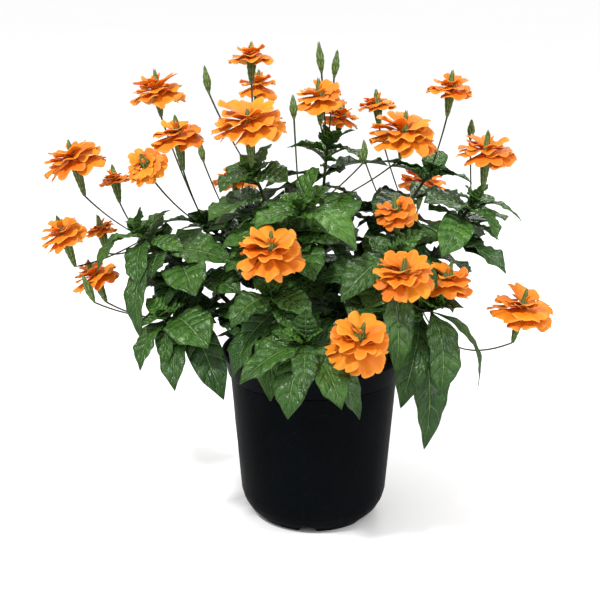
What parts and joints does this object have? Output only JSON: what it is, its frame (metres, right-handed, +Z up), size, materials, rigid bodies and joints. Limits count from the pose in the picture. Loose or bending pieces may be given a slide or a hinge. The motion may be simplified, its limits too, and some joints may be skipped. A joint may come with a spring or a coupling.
{
  "type": "crossandra plant in a nursery pot",
  "caption": "Bushy crossandra with glossy dark green leaves and orange flower heads on green bract spikes, growing in soil in a round black nursery pot.",
  "frame": {"origin": "centre of the pot's foot, on the surface the pot stands on", "axes": "+Z up along the pot's axis, -Y towards the viewer of the picture, +X to the viewer's right"},
  "size_m": [0.5504, 0.4225, 0.5378],
  "materials": {
    "pot": "thin moulded black plastic with a soft sheen",
    "soil": "loose dark potting mix of bark and peat",
    "shoot": "glossy quilted leaves, green stems and bracts",
    "bloom": "soft ruffled petals"
  },
  "bodies": {
    "root": {"pot": "pot", "soil": "soil", "shoot_left": "shoot", "shoot_rear_left": "shoot", "shoot_middle": "shoot", "shoot_front": "shoot", "shoot_upper": "shoot", "shoot_rear_right": "shoot", "shoot_right": "shoot", "bloom_01": "bloom", "bloom_02": "bloom", "bloom_03": "bloom", "bloom_04": "bloom", "bloom_05": "bloom", "bloom_06": "bloom", "bloom_07": "bloom", "bloom_08": "bloom", "bloom_09": "bloom", "bloom_10": "bloom", "bloom_11": "bloom", "bloom_12": "bloom", "bloom_14": "bloom", "bloom_15": "bloom", "bloom_16": "bloom", "bloom_17": "bloom", "bloom_18": "bloom", "bloom_20": "bloom", "bloom_21": "bloom", "bloom_22": "bloom", "bloom_25": "bloom", "bloom_26": "bloom", "bloom_27": "bloom", "bloom_28": "bloom", "bloom_29": "bloom", "bloom_30": "bloom"}
  },
  "joints": []
}
